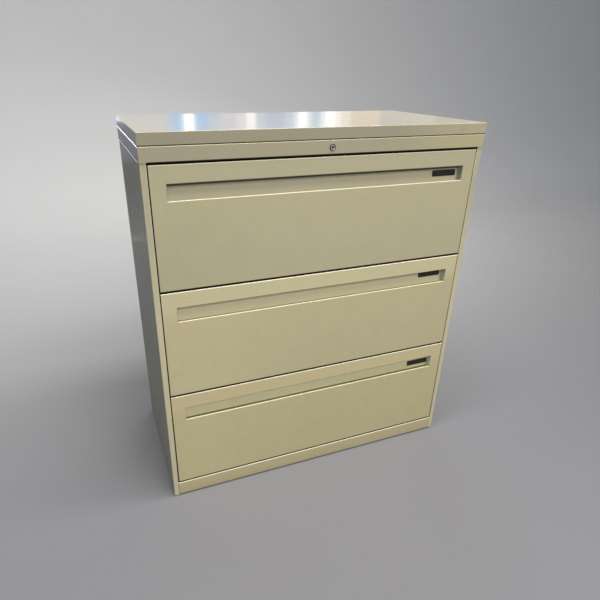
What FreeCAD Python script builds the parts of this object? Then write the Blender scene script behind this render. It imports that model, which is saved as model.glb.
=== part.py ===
import FreeCAD, Part
import math
import os

# Steel lateral filing cabinet with three drawers, in millimetres.
# The origin is on the floor under the middle of the cabinet: +X right, +Y to the back, +Z up.

V = FreeCAD.Vector

# Overall size
width = 914.4
depth = 457.2
body_height = 1016.0
glide_standoff = 3.2

# Sheet metal
case_sheet = 1.2
front_sheet = 1.0
tray_sheet = 0.9
channel_sheet = 1.5
bracket_sheet = 2.0
bend_radius = 0.8

# Top cap, and the band and rail below it
cap_height = 28.4
cap_edge_radius = 1.5
cap_lip = 16.0
cap_foot_chamfer = 0.5
cap_reveal = 1.0
band_height = 34.0
band_bend_radius = 0.3
band_edge_chamfer = 0.7
stiffener_width = 36.0
stiffener_foot = 17.0
stiffener_height = 18.0
stiffener_offset = 95.0
stiffener_end_gap = 20.0
top_rail_depth = 40.0
top_rail_floor = 22.0
top_rail_lip = 8.0

# Side panels and their front posts
post_width = 14.8
post_return = 24.0
post_hem = 9.0
rear_flange = 18.0
panel_top_flange = 16.0
panel_top_flange_start = 45.0

# Back panel with two pressed fields
back_edge_gap = 3.0
back_border = 40.0
back_rib_half = 22.0
back_field_depth = 5.0
back_field_slope = 6.0

# Base
base_height = 44.5
base_rail_depth = 26.0
base_rail_foot = 20.0
base_rail_lip = 10.0
pan_drop = 6.0
pan_skirt_gap = 8.0
counterweight_size = (760.0, 120.0, 12.0)
counterweight_back_gap = 22.0
counterweight_chamfer = 1.5

# Levelling glides and their brackets
glide_inset_x = 34.0
glide_inset_y = 38.0
glide_foot_radius = 15.0
glide_foot_height = 7.0
glide_foot_chamfer = 1.5
glide_stem_radius = 4.75
glide_stem_length = 31.0
thread_clearance = 0.1
glide_bracket_rise = 9.0
glide_bracket_width = 52.0
glide_bracket_length = 40.0
glide_bracket_back = 10.6
glide_bracket_leg = 21.0
glide_nut_flats = 16.0
glide_nut_height = 8.0

# Drawer fronts
drawer_names = ("bottom", "middle", "top")
base_gap = 2.8
drawer_gap = 3.2
top_gap = 4.4
side_gap = 2.4
front_depth = 27.0
front_edge_radius = 1.6
liner_clearance = 0.15
liner_flange = 12.0

# Finger recess in each drawer front
window_drop = 42.0
window_height = 38.0
window_half = 403.0
window_hem = 4.0
window_roll = 1.2
pull_sheet = 0.8
pull_depth_top = 22.0
pull_depth_bottom = 18.3
pull_rise = 14.0
pull_fall = 16.0

# Label holders, which sit a little differently in each drawer: gap to the right end, height over the lip
label_length = 76.0
label_height = 20.0
label_thickness = 1.6
label_rim = 1.4
label_rim_depth = 0.9
label_corner_cut = 1.2
label_places = {"bottom": (1.0, 3.0), "middle": (6.5, 12.5), "top": (8.5, 8.0)}

# Drawer trays
tray_floor_rise = 14.0
tray_height = 248.0
tray_rear_space = 31.8
tray_flange = 12.0
tray_lip = 8.0
tray_back_flange = 12.0

# Rails for hanging files
file_rail_thickness = 2.0
file_rail_drop = 14.0
file_rail_rise = 3.0
file_rail_start = 16.0
file_rail_span = 311.0
file_rail_tab = 14.0
file_rail_tab_sheet = 1.5

# Telescoping slides: a section is drawn with u inwards from the upright and w up from the slide's middle
slide_rise = 95.0
slide_thickness = 19.0
slide_front_gap = 1.5
outer_rear_space = 11.3
middle_rear_step = 20.0
inner_rear_step = 6.0
ball_radius = 2.38
ball_clearance = 0.3
outer_half_height = 22.85
outer_sheet = 1.5
outer_reach = 13.0
middle_sheet = 1.3
middle_web = 3.5
middle_reach = 15.5
inner_sheet = 1.3
inner_flange_gap = 0.7
race_lip = 1.0
cage_sheet = 1.0
cage_gap = 0.5
cage_start = 99.0
cage_length = 190.0

# Uprights that carry the slides
upright_width = 34.0
mount_gap = 0.8
front_upright_start = 59.4
rear_upright_end = 24.0
upright_head_gap = 1.5

# Lock: plug, cam, push rod, bellcrank and lock bar
lock_flange_radius = 8.0
lock_flange_height = 1.4
lock_flange_chamfer = 0.6
lock_barrel_radius = 7.0
lock_barrel_length = 22.0
lock_hole_clearance = 0.2
lock_nut_flats = 20.0
lock_nut_height = 3.0
plug_radius = 5.5
plug_clearance = 0.1
plug_recess = 0.6
keyway_width = 1.4
keyway_length = 7.6
keyway_depth = 6.0
keyway_angle = 30.0
cam_radius = 10.5
cam_plate = 2.0
cam_turn = 90.0
cam_nut_flats = 7.0
cam_nut_height = 1.0
drive_pin_radius = 2.0
drive_pin_clearance = 0.35
crank_arm = 14.0
crank_turn = 45.0
crank_plate = 2.0
crank_boss = 6.0
crank_eye = 4.5
crank_inset = 23.0
pivot_pin_radius = 2.5
pivot_clearance = 0.1
pivot_head_radius = 4.0
pivot_head_height = 1.0
layer_gap = 0.8
rod_plate = 2.0
rod_height = 10.5
rod_left = 14.0
rod_end = 8.0
rod_guide_width = 14.0
rod_guide_sheet = 1.2
rod_guide_foot = 19.0
rod_guide_start = 60.0
rod_guide_end_gap = 40.0
rod_guide_count = 3
guide_clearance = 0.4
bar_plate = 2.0
bar_width = 16.0
bar_offset = 11.8
bar_foot = 25.0
hook_reach = 15.0
hook_height = 12.0
hook_bevel = 4.0
hook_drop = 2.0
bar_guide_length = 27.0
bar_guide_leg = 14.0
bar_guide_sheet = 1.5
bar_guide_rise = 60.0
stop_gap = 0.3
catch_reach = 15.0
catch_foot = 22.0
catch_height = 16.0
catch_gap = 2.0
catch_rise = 40.0

# Planes and levels that the pieces share
half_width = width / 2
half_depth = depth / 2
case_half = half_width - case_sheet
skin_inside = case_half - case_sheet
case_front = -half_depth + case_sheet
case_back = half_depth - case_sheet
case_bottom = glide_standoff
case_top = case_bottom + body_height
cap_bottom = case_top - cap_height
band_top = cap_bottom - cap_reveal
band_bottom = band_top - band_height
base_top = case_bottom + base_height
pan_top = base_top - pan_drop
opening_half = case_half - post_width
front_half = opening_half - side_gap
front_height = (band_bottom - top_gap - base_top - base_gap
                - (len(drawer_names) - 1) * drawer_gap) / len(drawer_names)
front_bottoms = {name: base_top + base_gap + i * (front_height + drawer_gap)
                 for i, name in enumerate(drawer_names)}
liner_back = case_front + front_depth
mount_half = opening_half - mount_gap
tray_half = mount_half - slide_thickness
tray_back = case_back - tray_rear_space
slide_front = liner_back + slide_front_gap
outer_back = case_back - outer_rear_space
middle_back = outer_back - middle_rear_step
inner_back = middle_back - inner_rear_step

# Slide sections, from the balls outwards
race_radius = ball_radius + ball_clearance
race_radii = (race_radius, 0, 0, race_radius)
cage_ends = (slide_front + cage_start, slide_front + cage_start + cage_length)
outer_ball_height = outer_half_height - outer_sheet - race_radius
middle_half_height = outer_ball_height - ball_radius - ball_clearance
inner_ball_height = middle_half_height - middle_sheet - race_radius
inner_half_height = inner_ball_height - ball_radius - ball_clearance

# Lock levels and layers
lock_height = (band_bottom + band_top) / 2
lock_travel = 2 * crank_arm * math.sin(math.radians(crank_turn / 2))
cam_pin_circle = lock_travel / 2 / math.sin(math.radians(cam_turn / 2))
half_travel = lock_travel / 2
rod_top = lock_height - drive_pin_radius + drive_pin_clearance + 0.15
rod_bottom = rod_top - rod_height
rod_middle = (rod_top + rod_bottom) / 2
crank_rise = crank_arm * (1 + math.cos(math.radians(crank_turn / 2))) / 2
crank_height = rod_middle - crank_rise
cam_front = case_front + lock_barrel_length + 6.4
rod_front = cam_front + cam_plate + cam_nut_height + layer_gap
crank_front = rod_front + rod_plate + layer_gap
bar_front = crank_front + crank_plate + layer_gap
bar_inside = skin_inside - bar_offset
crank_x = bar_inside - crank_inset
catch_front = bar_front + bar_plate + catch_gap


def block(x0, x1, y0, y1, z0, z1):
    return Part.makeBox(x1 - x0, y1 - y0, z1 - z0, V(x0, y0, z0))


def disc(x, z, y0, y1, radius):
    # A round solid whose axis runs front to back.
    return Part.makeCylinder(radius, y1 - y0, V(x, y0, z), V(0, 1, 0))


def hexagon(centre, flats, height, way=V(0, 1, 0)):
    # A nut blank that grows from its centre along the way given.
    turns = [math.radians(60 * i + 30) for i in range(7)]
    corners = [V(math.cos(turn), math.sin(turn), 0) * (flats / math.sqrt(3)) for turn in turns]
    nut = Part.Face(Part.makePolygon(corners)).extrude(V(0, 0, height))
    nut.Placement = FreeCAD.Placement(centre, FreeCAD.Rotation(V(0, 0, 1), way))
    return nut


def obround(start, end, radius, y0, y1):
    # A flat link or a slot in the XZ plane, round about its two centres.
    a, b = V(start[0], y0, start[1]), V(end[0], y0, end[1])
    along = (b - a).normalize() * radius
    across = along.cross(V(0, 1, 0))
    edges = [Part.Arc(a + across, a - along, a - across), Part.LineSegment(a - across, b - across),
             Part.Arc(b - across, b + along, b + across), Part.LineSegment(b + across, a + across)]
    return Part.Face(Part.Wire([edge.toShape() for edge in edges])).extrude(V(0, y1 - y0, 0))


def rounded_run(points, radii):
    # Straight edges through the points, with an arc at each inner point.
    edges = []
    start = points[0]
    for before, corner, after, radius in zip(points, points[1:], points[2:], radii):
        come = (corner - before).normalize()
        go = (after - corner).normalize()
        half_turn = come.getAngle(go) / 2
        cut = radius * math.tan(half_turn)
        first, last = corner - come * cut, corner + go * cut
        edges.append(Part.LineSegment(start, first).toShape())
        if radius:
            middle = corner + (go - come).normalize() * radius * (1 / math.cos(half_turn) - 1)
            edges.append(Part.Arc(first, middle, last).toShape())
        start = last
    edges.append(Part.LineSegment(start, points[-1]).toShape())
    return edges


plane_turns = {"plan": FreeCAD.Rotation(), "front": FreeCAD.Rotation(V(1, 0, 0), 90),
               "side": FreeCAD.Rotation(V(1, 1, 1), 120)}
plane_places = {"plan": lambda low, high: V(0, 0, low), "front": lambda low, high: V(0, high, 0),
                "side": lambda low, high: V(low, 0, 0)}


def folded(plane, low, high, path, sheet, radii=bend_radius):
    # A folded sheet: its path is drawn along one face of the metal, in plan (x, y), from the front (x, z)
    # or from the side (y, z). The metal lies left of the path, or right of it where sheet is negative.
    # Each bend has its inside radius, one for all or one for each inner point, and 0 is a sharp bend.
    near = [V(u, v, 0) for u, v in path]
    ways = [(b - a).normalize() for a, b in zip(near, near[1:])]
    lefts = [V(-way.y, way.x, 0) for way in ways]
    inner = [corner + (a + b) * (sheet / (1 + a.dot(b))) for corner, a, b in zip(near[1:], lefts, lefts[1:])]
    far = [near[0] + lefts[0] * sheet] + inner + [near[-1] + lefts[-1] * sheet]
    radii = radii if isinstance(radii, (list, tuple)) else [radii] * len(inner)
    outside = [radius + abs(sheet) if radius else 0 for radius in radii]
    towards = [a.cross(b).z * sheet > 0 for a, b in zip(ways, ways[1:])]
    near_radii = [big if turn else small for big, small, turn in zip(outside, radii, towards)]
    far_radii = [small if turn else big for big, small, turn in zip(outside, radii, towards)]
    edges = rounded_run(near, near_radii) + [Part.LineSegment(near[-1], far[-1]).toShape()]
    edges += rounded_run(far[::-1], far_radii[::-1]) + [Part.LineSegment(far[0], near[0]).toShape()]
    solid = Part.Face(Part.Wire(edges)).extrude(V(0, 0, high - low))
    solid.Placement = FreeCAD.Placement(plane_places[plane](low, high), plane_turns[plane])
    return solid


def mirrored(shape):
    return shape.mirror(V(0, 0, 0), V(1, 0, 0))


def both_sides(shape):
    return [shape, mirrored(shape)]


def edges_where(shape, test):
    return [edge for edge in shape.Edges if all(test(vertex.Point) for vertex in edge.Vertexes)]


def near(a, b):
    return abs(a - b) < 1e-4


def save(name, *solids):
    shape = solids[0] if len(solids) == 1 else Part.makeCompound(list(solids))
    shape.exportStep("parts/" + name + ".step")


# Cabinet

def top_cap():
    # A pressed pan with sharp mitred corners and a lip turned in under its skirt.
    outer = block(-half_width, half_width, -half_depth, half_depth, cap_bottom, case_top)
    outer = outer.makeFillet(cap_edge_radius, edges_where(outer, lambda p: near(p.z, case_top)))
    outer = outer.makeChamfer(cap_foot_chamfer, edges_where(outer, lambda p: near(p.z, cap_bottom)))
    in_x, in_y = half_width - case_sheet, half_depth - case_sheet
    hollow = block(-in_x, in_x, -in_y, in_y, cap_bottom + case_sheet, case_top - case_sheet)
    mouth_x, mouth_y = half_width - cap_lip, half_depth - cap_lip
    mouth = block(-mouth_x, mouth_x, -mouth_y, mouth_y, cap_bottom, cap_bottom + case_sheet)
    return outer.cut(hollow).cut(mouth)


def top_stiffeners():
    # Two hat sections welded under the top sheet.
    under = case_top - case_sheet
    reach = half_width - stiffener_end_gap
    half = stiffener_width / 2
    section = [(-half - stiffener_foot, under), (-half, under), (-half, under - stiffener_height),
               (half, under - stiffener_height), (half, under), (half + stiffener_foot, under)]
    return [folded("side", -reach, reach, [(y + place, z) for y, z in section], -front_sheet, 0)
            for place in (-stiffener_offset, stiffener_offset)]


def lock_hole(radius):
    return disc(0, lock_height, -half_depth, case_front + case_sheet, radius)


def top_band():
    # The trim that wraps the front and both sides under the cap, with its upper edge eased.
    left = [(-half_width, case_back), (-half_width, -half_depth)]
    path = left + [(-x, y) for x, y in left[::-1]]
    band = folded("plan", band_bottom, band_top, path, case_sheet, band_bend_radius)
    outline = edges_where(band, lambda p: near(abs(p.x), half_width) or near(p.y, -half_depth))
    upper = [edge for edge in outline if near(edge.BoundBox.ZMin, band_top)]
    band = band.makeChamfer(band_edge_chamfer, upper)
    return band.cut(lock_hole(lock_barrel_radius + lock_hole_clearance))


def top_rail():
    # The channel between the posts behind the band, which carries the lock.
    back = case_front + top_rail_depth
    path = [(case_front + top_rail_floor, band_bottom), (case_front, band_bottom), (case_front, cap_bottom),
            (back, cap_bottom), (back, cap_bottom - top_rail_lip)]
    rail = folded("side", -opening_half, opening_half, path, -case_sheet, 0)
    return rail.cut(lock_hole(lock_barrel_radius + lock_hole_clearance))


def side_panel():
    # The right side, its front post and its rear flange folded from one sheet.
    flange_face = case_back - case_sheet
    post_back = case_front + post_return
    path = [(case_half - rear_flange, flange_face), (case_half, flange_face), (case_half, case_front),
            (opening_half, case_front), (opening_half, post_back), (opening_half + post_hem, post_back)]
    panel = folded("plan", case_bottom, cap_bottom, path, -case_sheet, (0, bend_radius, bend_radius, 0))
    shelf = block(case_half - panel_top_flange, skin_inside, case_front + panel_top_flange_start,
                  flange_face - panel_top_flange_start, cap_bottom - case_sheet, cap_bottom)
    return panel.fuse(shelf).removeSplitter()


def back_panel():
    edge = case_half - back_edge_gap
    field = edge - back_border
    deep = case_back - back_field_depth
    right = [(back_rib_half, case_back), (back_rib_half + back_field_slope, deep),
             (field - back_field_slope, deep), (field, case_back), (edge, case_back)]
    path = [(-x, y) for x, y in right[::-1]] + right
    return folded("plan", case_bottom, band_top, path, -case_sheet, 0)


def base_rail():
    back = case_front + base_rail_depth
    foot = case_front + base_rail_foot
    path = [(foot, case_bottom + base_rail_lip), (foot, case_bottom), (case_front, case_bottom),
            (case_front, base_top), (back, base_top), (back, base_top - base_rail_lip)]
    radii = (0, bend_radius, bend_radius, 0)
    return folded("side", -opening_half, opening_half, path, -case_sheet, radii)


def bottom_pan():
    front = case_front + base_rail_depth
    back = case_back - back_field_depth - case_sheet
    skirt = case_bottom + pan_skirt_gap
    path = [(front, skirt), (front, pan_top), (back, pan_top), (back, skirt)]
    return folded("side", -skin_inside, skin_inside, path, -case_sheet, 0)


def counterweight():
    long, deep, thick = counterweight_size
    back = case_back - counterweight_back_gap
    slab = block(-long / 2, long / 2, back - deep, back, pan_top, pan_top + thick)
    return slab.makeChamfer(counterweight_chamfer, edges_where(slab, lambda p: near(p.z, pan_top + thick)))


def glide_places():
    front, back = case_front + glide_inset_y, case_back - glide_inset_y
    return [(side * (case_half - glide_inset_x), y) for y in (front, back) for side in (1, -1)]


def levelling_glides():
    # A chamfered foot on a threaded stem, which screws into the bracket's nut.
    stem_top = glide_foot_height + glide_stem_length
    sole = glide_foot_radius - glide_foot_chamfer
    profile = [(0, 0), (sole, 0), (glide_foot_radius, glide_foot_chamfer),
               (glide_foot_radius, glide_foot_height), (glide_stem_radius, glide_foot_height),
               (glide_stem_radius, stem_top), (0, stem_top), (0, 0)]
    outline = Part.Face(Part.makePolygon([V(radius, 0, z) for radius, z in profile]))
    glide = outline.revolve(V(0, 0, 0), V(0, 0, 1), 360)
    return [glide.translated(V(x, y, 0)) for x, y in glide_places()]


def glide_brackets():
    # Angles on the side panels, each with a weld nut for its glide.
    level = case_bottom + glide_bracket_rise
    path = [(skin_inside, level + glide_bracket_leg), (skin_inside, level),
            (skin_inside - glide_bracket_width, level)]
    brackets = []
    for x, y in glide_places():
        start = y - glide_bracket_back if y < 0 else y + glide_bracket_back - glide_bracket_length
        angle = folded("front", start, start + glide_bracket_length, path, -bracket_sheet, 0)
        angle = angle if x > 0 else mirrored(angle)
        nut = hexagon(V(x, y, level + bracket_sheet), glide_nut_flats, glide_nut_height, V(0, 0, 1))
        hole = Part.makeCylinder(glide_stem_radius + thread_clearance, glide_bracket_leg, V(x, y, level))
        brackets.append(angle.fuse(nut).cut(hole).removeSplitter())
    return brackets


def slide_uprights():
    # Channels on the side panels, front and rear, that the slides are fixed to.
    starts = (case_front + front_upright_start, case_back - rear_upright_end - upright_width)
    uprights = []
    for start in starts:
        end = start + upright_width
        path = [(skin_inside, start), (mount_half, start), (mount_half, end), (skin_inside, end)]
        top = cap_bottom - case_sheet - upright_head_gap
        uprights += both_sides(folded("plan", pan_top, top, path, -channel_sheet, 0))
    return uprights


# Telescoping slides

def slide_part(drawer, section, sheet, radii, start, end):
    level = front_bottoms[drawer] + slide_rise
    path = [(mount_half - u, level + w) for u, w in section]
    return both_sides(folded("front", start, end, path, -sheet, radii))


def c_section(web, reach, half_height, lip):
    # A C that opens inwards, with a lip turned back at each end where lip isn't 0.
    top = [(reach, half_height), (web, half_height)]
    if lip:
        top.insert(0, (reach, half_height - lip))
    return top + [(u, -w) for u, w in top[::-1]]


def outer_slide(drawer):
    lip = outer_sheet + race_radius + race_lip
    section = c_section(0, outer_reach, outer_half_height, lip)
    return slide_part(drawer, section, outer_sheet, race_radii, slide_front, outer_back)


def middle_slide(drawer):
    lip = middle_sheet + race_radius + race_lip
    section = c_section(middle_web, middle_reach, middle_half_height, lip)
    return slide_part(drawer, section, middle_sheet, race_radii, slide_front, middle_back)


def inner_slide(drawer):
    # The drawer member is a C that opens outwards, with its web on the tray.
    tip = middle_web + middle_sheet + cage_gap + cage_sheet + inner_flange_gap
    section = [(tip, -inner_half_height), (slide_thickness, -inner_half_height),
               (slide_thickness, inner_half_height), (tip, inner_half_height)]
    return slide_part(drawer, section, inner_sheet, 0, slide_front, inner_back)


def outer_cage(drawer):
    # The strip that keeps the balls apart between the outer and the middle member.
    half_height = outer_ball_height + cage_sheet / 2
    section = c_section(outer_sheet + cage_gap, outer_reach - outer_sheet - cage_gap, half_height, 0)
    return slide_part(drawer, section, cage_sheet, 0, *cage_ends)


def inner_cage(drawer):
    half_height = inner_ball_height + cage_sheet / 2
    web = middle_web + middle_sheet + cage_gap
    section = c_section(web, middle_reach - middle_sheet - cage_gap, half_height, 0)
    return slide_part(drawer, section, cage_sheet, 0, *cage_ends)


# Drawers

def drawer_front(bottom):
    # A folded pan with a window for the finger recess, whose long edges are rolled back into the recess.
    top = bottom + front_height
    back = case_front + front_depth
    pan = block(-front_half, front_half, case_front, back, bottom, top)
    pan = pan.makeFillet(front_edge_radius, edges_where(pan, lambda p: near(p.y, case_front)))
    inside = front_half - front_sheet
    face = case_front + front_sheet
    hollow = block(-inside, inside, face, back, bottom + front_sheet, top - front_sheet)
    window_top = top - window_drop
    window_bottom = window_top - window_height
    rolled = window_roll + front_sheet
    window = block(-window_half, window_half, case_front, face, window_bottom - rolled, window_top + rolled)
    hem_back = case_front + window_hem
    below, above = window_bottom - 2 * rolled, window_top + 2 * rolled
    paths = [[(case_front, below), (case_front, window_bottom), (hem_back, window_bottom)],
             [(hem_back, window_top), (case_front, window_top), (case_front, above)]]
    hems = [folded("side", -window_half, window_half, path, -front_sheet, window_roll) for path in paths]
    return pan.cut(hollow).cut(window).fuse(hems).removeSplitter()


def pull_line(bottom):
    # The recess's sloping back: its depth behind the face at a height, by the two measured depths.
    window_top = bottom + front_height - window_drop
    slope = (pull_depth_top - pull_depth_bottom) / window_height
    return lambda z: case_front + pull_depth_top + (z - window_top) * slope


def drawer_pull(bottom):
    # The pressed channel behind the window, open to the front, with closed ends.
    face = case_front + front_sheet
    window_top = bottom + front_height - window_drop
    low, high = window_top - window_height - pull_fall, window_top + pull_rise
    back = pull_line(bottom)

    def prism(grow, half):
        outline = [(face, low - grow), (back(low) + grow, low - grow), (back(high) + grow, high + grow),
                   (face, high + grow), (face, low - grow)]
        return Part.Face(Part.makePolygon([V(-half, y, z) for y, z in outline])).extrude(V(2 * half, 0, 0))

    return prism(pull_sheet, window_half + pull_sheet).cut(prism(0, window_half))


def label_holder(drawer, bottom):
    # A flat holder with cut corners, leaning with the recess's back. Its rim leaves the right end open.
    right_gap, rise = label_places[drawer]
    window_bottom = bottom + front_height - window_drop - window_height
    back = pull_line(bottom)
    x1 = window_half - right_gap
    x0 = x1 - label_length
    z0 = window_bottom + rise

    def leaning(x_low, x_high, z_low, z_high, thick, corner=0):
        outline = [(back(z_low), z_low), (back(z_high), z_high), (back(z_high) - thick, z_high),
                   (back(z_low) - thick, z_low), (back(z_low), z_low)]
        side = Part.Face(Part.makePolygon([V(x_low, y, z) for y, z in outline]))
        slab = side.extrude(V(x_high - x_low, 0, 0))
        ends = [edge for edge in slab.Edges if near(edge.Length, thick)]
        return slab.makeChamfer(corner, ends) if corner else slab

    z1 = z0 + label_height
    plate = leaning(x0, x1, z0, z1, label_thickness, label_corner_cut)
    cut = leaning(x0 + label_rim, x1, z0 + label_rim, z1 - label_rim, label_thickness)
    floor = leaning(x0, x1, z0, z1, label_thickness - label_rim_depth, label_corner_cut)
    return plate.cut(cut).fuse(floor).removeSplitter()


def drawer_liner(bottom):
    # The inner panel that closes the back of the front.
    reach = front_half - front_sheet - liner_clearance
    low = bottom + front_sheet + liner_clearance
    high = bottom + front_height - front_sheet - liner_clearance
    front = liner_back - liner_flange
    path = [(front, low), (liner_back, low), (liner_back, high), (front, high)]
    return folded("side", -reach, reach, path, front_sheet, 0)


def tray_levels(bottom):
    floor = bottom + tray_floor_rise
    return floor, floor + tray_height


def drawer_tray(bottom):
    # Floor and sides folded from one sheet, with the side tops turned in.
    floor, top = tray_levels(bottom)
    lip = tray_half - tray_flange
    path = [(lip, top - tray_lip), (lip, top), (tray_half, top), (tray_half, floor),
            (-tray_half, floor), (-tray_half, top), (-lip, top), (-lip, top - tray_lip)]
    radii = (0, bend_radius, 0, 0, bend_radius, 0)
    return folded("front", liner_back, tray_back - tray_sheet, path, -tray_sheet, radii)


def tray_back_panel(bottom):
    # A plate over the tray's rear end, with two flanges that reach forward between the tray's lips.
    floor, top = tray_levels(bottom)
    low = floor + tray_sheet
    reach = tray_half - tray_flange - guide_clearance
    face = tray_back - tray_sheet
    front = tray_back - tray_back_flange
    plate = block(-tray_half, tray_half, face, tray_back, floor, top)
    path = [(front, low), (tray_back, low), (tray_back, top), (front, top)]
    return plate.fuse(folded("side", -reach, reach, path, tray_sheet, 0)).removeSplitter()


def file_rails(bottom):
    # Two bars across the tray, front and rear, with tabs that rest on its sides.
    top = tray_levels(bottom)[1]
    reach = tray_half - tray_flange - guide_clearance
    rails = []
    for y in (liner_back + file_rail_start, liner_back + file_rail_start + file_rail_span):
        bar = block(-reach, reach, y, y + file_rail_thickness, top - file_rail_drop, top + file_rail_rise)
        middle = y + file_rail_thickness / 2
        tab = block(reach, tray_half - bend_radius - tray_sheet, middle - file_rail_tab / 2,
                    middle + file_rail_tab / 2, top, top + file_rail_tab_sheet)
        rails.append(bar.fuse(both_sides(tab)).removeSplitter())
    return rails


def drawer_catch(bottom):
    # The bracket on the tray's right side that the lock bar's hook stands in front of.
    low = bottom + slide_rise + catch_rise
    path = [(tray_half, catch_front + catch_foot), (tray_half, catch_front),
            (tray_half + catch_reach, catch_front)]
    return folded("plan", low, low + catch_height, path, bracket_sheet, 0)


# Lock

def lock_housing():
    # A flanged barrel on the front of the band, held by a nut behind the rail.
    face = -half_depth - lock_flange_height
    back = case_front + lock_barrel_length
    flange = disc(0, lock_height, face, -half_depth, lock_flange_radius)
    rim = [edge for edge in flange.Edges if near(edge.BoundBox.YMax, face)]
    flange = flange.makeChamfer(lock_flange_chamfer, rim)
    barrel = disc(0, lock_height, -half_depth, back, lock_barrel_radius)
    bore = disc(0, lock_height, face, back, plug_radius + plug_clearance)
    nut_face = case_front + case_sheet
    nut = hexagon(V(0, nut_face, lock_height), lock_nut_flats, lock_nut_height)
    nut = nut.cut(disc(0, lock_height, nut_face, nut_face + lock_nut_height, lock_barrel_radius))
    return flange.fuse(barrel).removeSplitter().cut(bore), nut


def lock_plug():
    # The plug that the key turns, with its keyway as the key enters it at rest.
    face = -half_depth - lock_flange_height + plug_recess
    plug = disc(0, lock_height, face, cam_front, plug_radius)
    keyway = block(-keyway_length / 2, keyway_length / 2, face, face + keyway_depth,
                   lock_height - keyway_width / 2, lock_height + keyway_width / 2)
    keyway.rotate(V(0, 0, lock_height), V(0, 1, 0), -keyway_angle)
    return plug.cut(keyway)


def lock_cam():
    # A disc on the plug's tail, held by a nut, with a pin that drives the rod.
    back = cam_front + cam_plate
    pin_x, pin_z = half_travel, lock_height - cam_pin_circle * math.cos(math.radians(cam_turn / 2))
    cam = disc(0, lock_height, cam_front, back, cam_radius)
    pin = disc(pin_x, pin_z, back, rod_front + rod_plate + layer_gap / 2, drive_pin_radius)
    return cam.fuse([pin, hexagon(V(0, back, lock_height), cam_nut_flats, cam_nut_height)]).removeSplitter()


def lock_rod():
    # A flat rod along the rail, slotted for the cam's pin and for the bellcrank's.
    right = crank_x + half_travel + rod_end
    rod = block(-rod_left, right, rod_front, rod_front + rod_plate, rod_bottom, rod_top)
    cam_low = lock_height - cam_pin_circle
    cam_high = lock_height - cam_pin_circle * math.cos(math.radians(cam_turn / 2))
    crank_low = crank_height + crank_arm * math.cos(math.radians(crank_turn / 2))
    slot_radius = drive_pin_radius + drive_pin_clearance
    ends = rod_front, rod_front + rod_plate
    for x, low, high in ((half_travel, cam_low, cam_high),
                         (crank_x + half_travel, crank_low, crank_height + crank_arm)):
        rod = rod.cut(obround((x, low), (x, high), slot_radius, *ends))
    return rod


def crank_pin(angle):
    # The centre of a bellcrank pin, by its angle from the +X axis at rest.
    turn = math.radians(angle)
    return crank_x + crank_arm * math.cos(turn), crank_height + crank_arm * math.sin(turn)


def lock_bellcrank():
    # Two arms at a right angle: the upper pin rides in the rod, the other in the lock bar.
    back = crank_front + crank_plate
    rod_pin, bar_pin = crank_pin(90 - crank_turn / 2), crank_pin(-crank_turn / 2)
    pivot = (crank_x, crank_height)
    crank = disc(*pivot, crank_front, back, crank_boss)
    crank = crank.fuse([obround(pivot, pin, crank_eye, crank_front, back) for pin in (rod_pin, bar_pin)])
    crank = crank.fuse([disc(*rod_pin, rod_front - layer_gap / 2, crank_front, drive_pin_radius),
                        disc(*bar_pin, back, bar_front + bar_plate + layer_gap / 2, drive_pin_radius)])
    return crank.cut(disc(*pivot, crank_front, back, pivot_pin_radius + pivot_clearance)).removeSplitter()


def crank_bracket():
    # A folded foot on the rail's floor, with the fixed pin that the bellcrank turns on.
    sheet = rod_plate - guide_clearance / 2
    floor = band_bottom + case_sheet
    low = crank_height - crank_boss - layer_gap
    path = [(case_front + case_sheet + bracket_sheet, floor), (rod_front, floor), (rod_front, low)]
    reach = crank_boss + crank_eye
    bracket = folded("side", crank_x - reach, crank_x + reach, path, sheet, 0)
    head = crank_front + crank_plate + layer_gap / 2
    pin = disc(crank_x, crank_height, rod_front, head, pivot_pin_radius)
    cap = disc(crank_x, crank_height, head, head + pivot_head_height, pivot_head_radius)
    return bracket.fuse([pin, cap]).removeSplitter()


def rod_guides():
    # Straps that hang from the rail's top flange and hold the rod.
    under = cap_bottom - case_sheet - rod_guide_sheet
    behind = rod_front + rod_plate + guide_clearance
    before = rod_front - guide_clearance
    path = [(behind - rod_guide_foot, under), (behind, under), (behind, rod_bottom - guide_clearance),
            (before, rod_bottom - guide_clearance), (before, rod_top + guide_clearance)]
    step = (crank_x - rod_guide_end_gap - rod_guide_start) / (rod_guide_count - 1)
    places = [rod_guide_start + i * step for i in range(rod_guide_count)]
    return [folded("side", x, x + rod_guide_width, path, rod_guide_sheet, 0) for x in places]


def catch_level(drawer):
    return front_bottoms[drawer] + slide_rise + catch_rise


def bar_bottom():
    return catch_level(drawer_names[0]) - hook_drop - hook_height - bar_foot


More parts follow.
